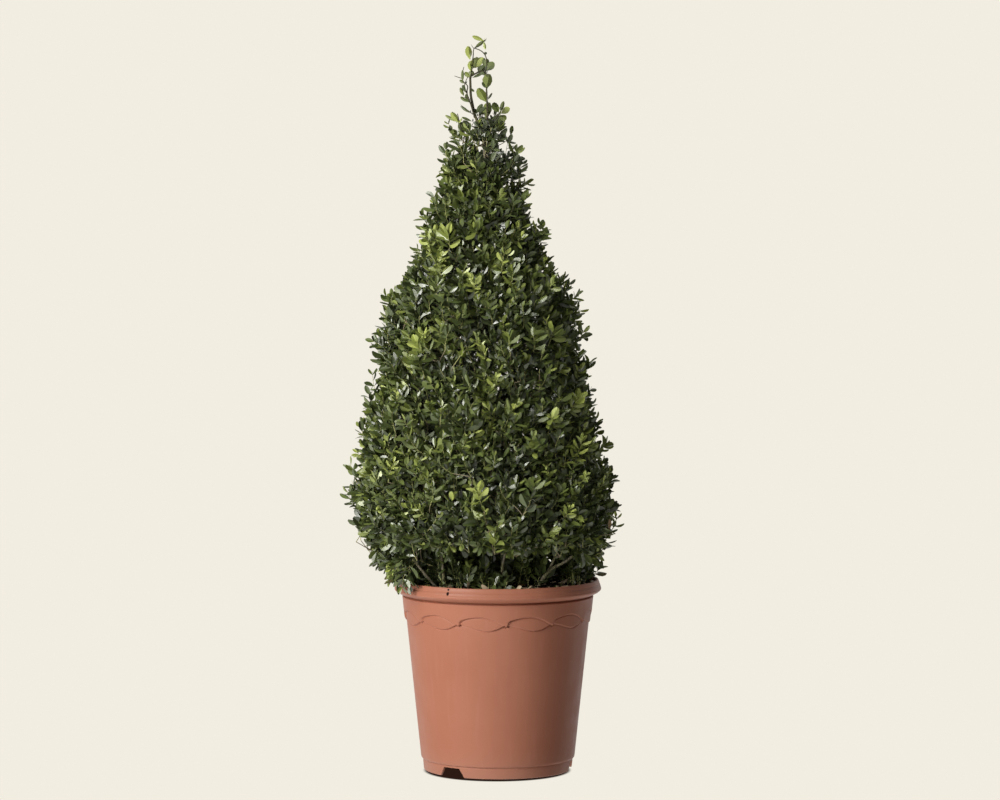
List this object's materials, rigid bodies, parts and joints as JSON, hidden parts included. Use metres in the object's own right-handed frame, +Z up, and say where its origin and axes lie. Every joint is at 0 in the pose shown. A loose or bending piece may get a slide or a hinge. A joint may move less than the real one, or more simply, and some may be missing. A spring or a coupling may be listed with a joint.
{
  "type": "potted boxwood cone topiary",
  "caption": "Clipped boxwood cone with small glossy leaves and a loose leading shoot, standing in a tapered round nursery pot with a rolled rim and a wave band.",
  "frame": {"origin": "on the ground, below the middle of the plant's width; the pot's axis is 27 mm to the right of it", "axes": "+Z up, -Y to the front, +X to the right seen from the front"},
  "size_m": [0.4266, 0.44, 1.1677],
  "materials": {
    "pot": "satin",
    "soil": "matte",
    "bark": "matte",
    "leaves": "satin"
  },
  "bodies": {
    "root": {"pot": "pot", "soil": "soil", "trunk": "bark", "bough_left_outer": "bark", "bough_left_inner": "bark", "bough_front": "bark", "bough_right": "bark", "bough_right_fork": "bark", "bough_back_right": "bark", "bough_back": "bark", "bough_back_left": "bark", "bough_second_leader": "bark", "crown": "leaves", "tuft_leader": "leaves", "tuft_second_leader": "leaves"}
  },
  "joints": []
}
